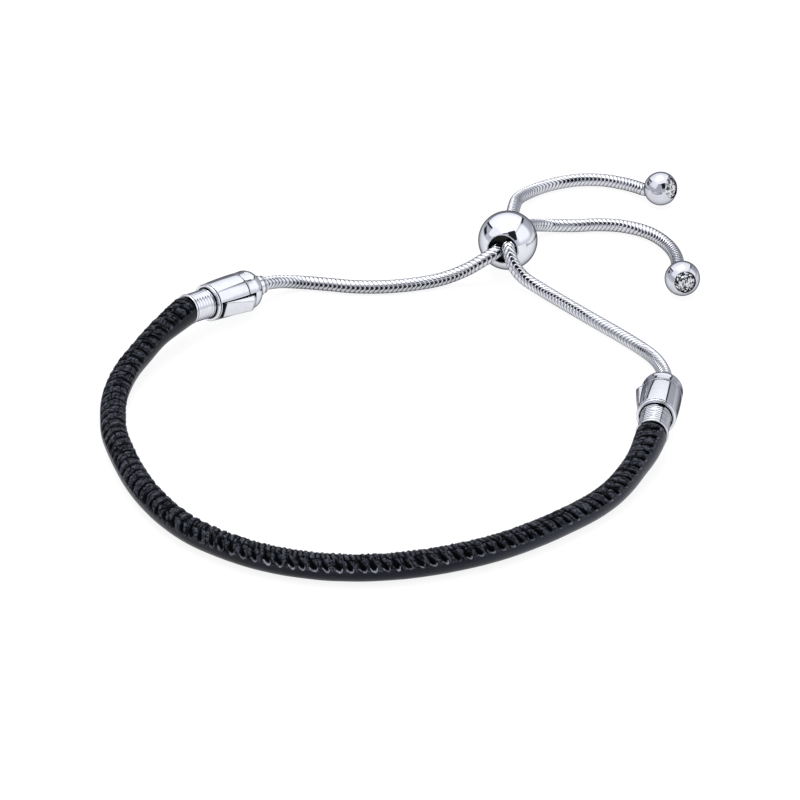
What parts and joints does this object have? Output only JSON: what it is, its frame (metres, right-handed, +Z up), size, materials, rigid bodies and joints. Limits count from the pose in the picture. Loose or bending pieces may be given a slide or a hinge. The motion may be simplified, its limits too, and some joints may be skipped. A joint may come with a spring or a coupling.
{
  "type": "sliding clasp leather bracelet",
  "caption": "Leather bracelet: a stitched leather cord with ribbed ferrules held in lever clasps, snake chains run through a sliding ball, and end balls carry clear cut stones.",
  "frame": {"origin": "centre of the bounding box on the plane the bracelet lies on", "axes": "+Z up; the sliding ball and the free chain ends lie toward +Y, and the middle of the leather cord toward -Y"},
  "size_m": [0.082, 0.1111, 0.0085],
  "materials": {
    "leather": "semi-gloss black leather, stitched along the top",
    "silver": "polished silver",
    "grip": "dark soft insert",
    "stone": "clear faceted stone"
  },
  "bodies": {
    "bracelet": {"leather_cord": "leather", "ferrule_left": "silver", "ferrule_right": "silver", "barrel_left": "silver", "barrel_right": "silver", "pin_left": "silver", "pin_right": "silver", "chain_left": "silver", "chain_right": "silver", "slider_ball": "silver", "slider_grip": "grip", "end_ball_upper": "silver", "end_ball_lower": "silver", "stone_upper": "stone", "stone_lower": "stone"},
    "lever_left": {"lever_left": "silver"},
    "lever_right": {"lever_right": "silver"}
  },
  "joints": [
    {"name": "lever_left_hinge", "type": "hinge", "parent": "bracelet", "child": "lever_left", "pos_m": [-0.02592, 0.0107, 0.00305], "axis": [-0.2598, 0.1035, -0.9601], "range_deg": [0, 40]},
    {"name": "lever_right_hinge", "type": "hinge", "parent": "bracelet", "child": "lever_right", "pos_m": [0.03079, -0.01793, 0.00295], "axis": [-0.0449, 0.0468, 0.9979], "range_deg": [0, 40]}
  ]
}
